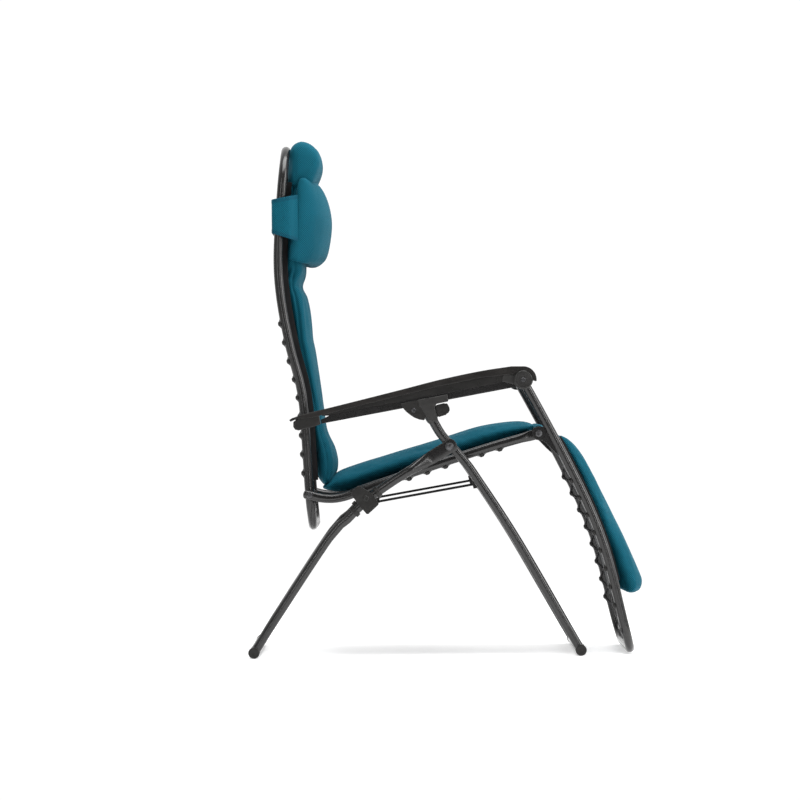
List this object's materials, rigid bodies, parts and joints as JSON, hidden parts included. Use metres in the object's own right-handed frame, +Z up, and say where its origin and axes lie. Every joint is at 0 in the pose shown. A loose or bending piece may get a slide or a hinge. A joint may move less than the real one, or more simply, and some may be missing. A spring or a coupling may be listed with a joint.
{
  "type": "reclining garden chair",
  "caption": "Folding zero gravity recliner: X of bent steel tube legs, laced mesh padding in three hinged sections, armrests that slide to recline, and a strapped head pillow.",
  "frame": {"origin": "middle of the floor under the chair's bounding box", "axes": "+X forward, the way the sitter faces; +Y to the sitter's left; +Z up"},
  "size_m": [0.8724, 0.6808, 1.141],
  "materials": {
    "anthracite_steel": "satin powder coat",
    "zinc_steel": "dark zinc plated",
    "black_wire": "satin powder coat",
    "black_plastic": "fine grain",
    "armrest_plastic": "fine grain",
    "teal_mesh": "spacer mesh with a fine diagonal weave",
    "black_sling": "coated weave",
    "elastic_cord": "braided sleeve"
  },
  "bodies": {
    "rear_legs": {"rear_crossbar": "anthracite_steel", "rear_foot_cap_right": "black_plastic", "rear_foot_cap_left": "black_plastic", "rear_leg_right": "anthracite_steel", "rear_leg_left": "anthracite_steel", "seat_bracket_right": "black_plastic", "seat_bracket_left": "black_plastic", "leg_pivot_rivet_right": "zinc_steel", "leg_pivot_rivet_left": "zinc_steel"},
    "front_legs": {"front_crossbar": "anthracite_steel", "front_foot_cap_right": "black_plastic", "front_foot_cap_left": "black_plastic", "front_leg_right": "anthracite_steel", "front_leg_left": "anthracite_steel", "leg_top_socket_right": "black_plastic", "leg_top_socket_left": "black_plastic", "stay_clip_right": "black_plastic", "stay_clip_left": "black_plastic"},
    "stay_wires": {"stay_wire_right": "black_wire", "stay_wire_left": "black_wire"},
    "seat_bushes": {"seat_pivot_pin_right": "zinc_steel", "seat_pivot_pin_left": "zinc_steel"},
    "seat": {"seat_tube_right": "anthracite_steel", "seat_tube_left": "anthracite_steel", "seat_cross_tube": "anthracite_steel", "knee_cross_tube": "anthracite_steel", "seat_sling": "black_sling", "seat_pad": "teal_mesh", "seat_lacing_right": "elastic_cord", "seat_lacing_left": "elastic_cord"},
    "back_bolts": {"back_hinge_bolt_right": "zinc_steel", "back_hinge_bolt_left": "zinc_steel"},
    "backrest": {"backrest_frame": "anthracite_steel", "back_sling": "black_sling", "back_pad": "teal_mesh", "back_lacing_right": "elastic_cord", "back_lacing_left": "elastic_cord"},
    "arm_bolts": {"armrest_rear_bolt_right": "zinc_steel", "armrest_rear_bolt_left": "zinc_steel"},
    "armrests": {"armrest_right": "armrest_plastic", "armrest_left": "armrest_plastic", "armrest_rail_right": "anthracite_steel", "armrest_rail_left": "anthracite_steel", "armrest_end_cap_right": "black_plastic", "armrest_end_cap_left": "black_plastic", "armrest_pivot_disc_right": "armrest_plastic", "armrest_pivot_disc_left": "armrest_plastic"},
    "sliders": {"slider_housing_right": "black_plastic", "slider_housing_left": "black_plastic"},
    "lock_right": {"lock_lever_right": "black_plastic"},
    "lock_left": {"lock_lever_left": "black_plastic"},
    "knee_bolts": {"knee_hinge_bolt_right": "zinc_steel", "knee_hinge_bolt_left": "zinc_steel"},
    "legrest": {"legrest_frame": "anthracite_steel", "legrest_sling": "black_sling", "legrest_pad": "teal_mesh", "legrest_lacing_right": "elastic_cord", "legrest_lacing_left": "elastic_cord"},
    "head_rest": {"head_pillow": "teal_mesh", "head_strap": "teal_mesh"}
  },
  "joints": [
    {"name": "fold", "type": "hinge", "parent": "rear_legs", "child": "front_legs", "pos_m": [0.0082, 0, 0.4615], "axis": [0, 1, 0], "range_deg": [0, 74.5], "deforming": ["back_pad"]},
    {"name": "wire_turn", "type": "hinge", "parent": "front_legs", "child": "stay_wires", "pos_m": [0.0657, 0, 0.3785], "axis": [0, -1, 0], "range_deg": [0, 90]},
    {"name": "seat_tilt", "type": "hinge", "parent": "rear_legs", "child": "seat_bushes", "pos_m": [-0.1758, 0, 0.349], "axis": [0, 1, 0], "range_deg": [-14, 3]},
    {"name": "seat_fold", "type": "hinge", "parent": "seat_bushes", "child": "seat", "pos_m": [-0.1758, 0, 0.349], "axis": [0, -1, 0], "range_deg": [-3, 14]},
    {"name": "back_recline", "type": "hinge", "parent": "seat", "child": "back_bolts", "pos_m": [-0.3008, 0, 0.356], "axis": [0, 1, 0], "range_deg": [-31, 3]},
    {"name": "back_fold", "type": "hinge", "parent": "back_bolts", "child": "backrest", "pos_m": [-0.3008, 0, 0.356], "axis": [0, 1, 0], "range_deg": [-3, 62]},
    {"name": "arm_recline", "type": "hinge", "parent": "backrest", "child": "arm_bolts", "pos_m": [-0.3098, 0, 0.5195], "axis": [0, -1, 0], "range_deg": [-35, 3]},
    {"name": "arm_fold", "type": "hinge", "parent": "arm_bolts", "child": "armrests", "pos_m": [-0.3098, 0, 0.5195], "axis": [0, -1, 0], "range_deg": [-3, 64]},
    {"name": "recline", "type": "slide", "parent": "armrests", "child": "sliders", "axis": [-0.984, 0, -0.1783], "range_m": [-0.1086, 0]},
    {"name": "lock_right_turn", "type": "hinge", "parent": "sliders", "child": "lock_right", "pos_m": [-0.0218, -0.322, 0.538], "axis": [0, 1, 0], "range_deg": [0, 25]},
    {"name": "lock_left_turn", "type": "hinge", "parent": "sliders", "child": "lock_left", "pos_m": [-0.0218, 0.322, 0.538], "axis": [0, 1, 0], "range_deg": [0, 25]},
    {"name": "knee_recline", "type": "hinge", "parent": "seat", "child": "knee_bolts", "pos_m": [0.2047, 0, 0.488], "axis": [0, 1, 0], "range_deg": [-46, 3]},
    {"name": "knee_fold", "type": "hinge", "parent": "knee_bolts", "child": "legrest", "pos_m": [0.2047, 0, 0.488], "axis": [0, 1, 0], "range_deg": [-3, 80]},
    {"name": "pillow_slide", "type": "slide", "parent": "backrest", "child": "head_rest", "axis": [0, 0, 1], "range_m": [-0.06, 0]}
  ],
  "couplings": [
    {"joint": "wire_turn", "follows": "fold", "ratio": 1.1624},
    {"joint": "seat_fold", "follows": "fold", "ratio": 0.1383},
    {"joint": "back_fold", "follows": "fold", "ratio": 0.7852},
    {"joint": "arm_fold", "follows": "fold", "ratio": 0.8086},
    {"joint": "knee_fold", "follows": "fold", "ratio": 1.0165},
    {"joint": "seat_tilt", "follows": "recline", "rad_per_m": 1.7035},
    {"joint": "knee_recline", "follows": "recline", "rad_per_m": 6.8463},
    {"joint": "arm_recline", "follows": "recline", "rad_per_m": 5.0946},
    {"joint": "back_recline", "follows": "recline", "rad_per_m": 4.4999}
  ]
}
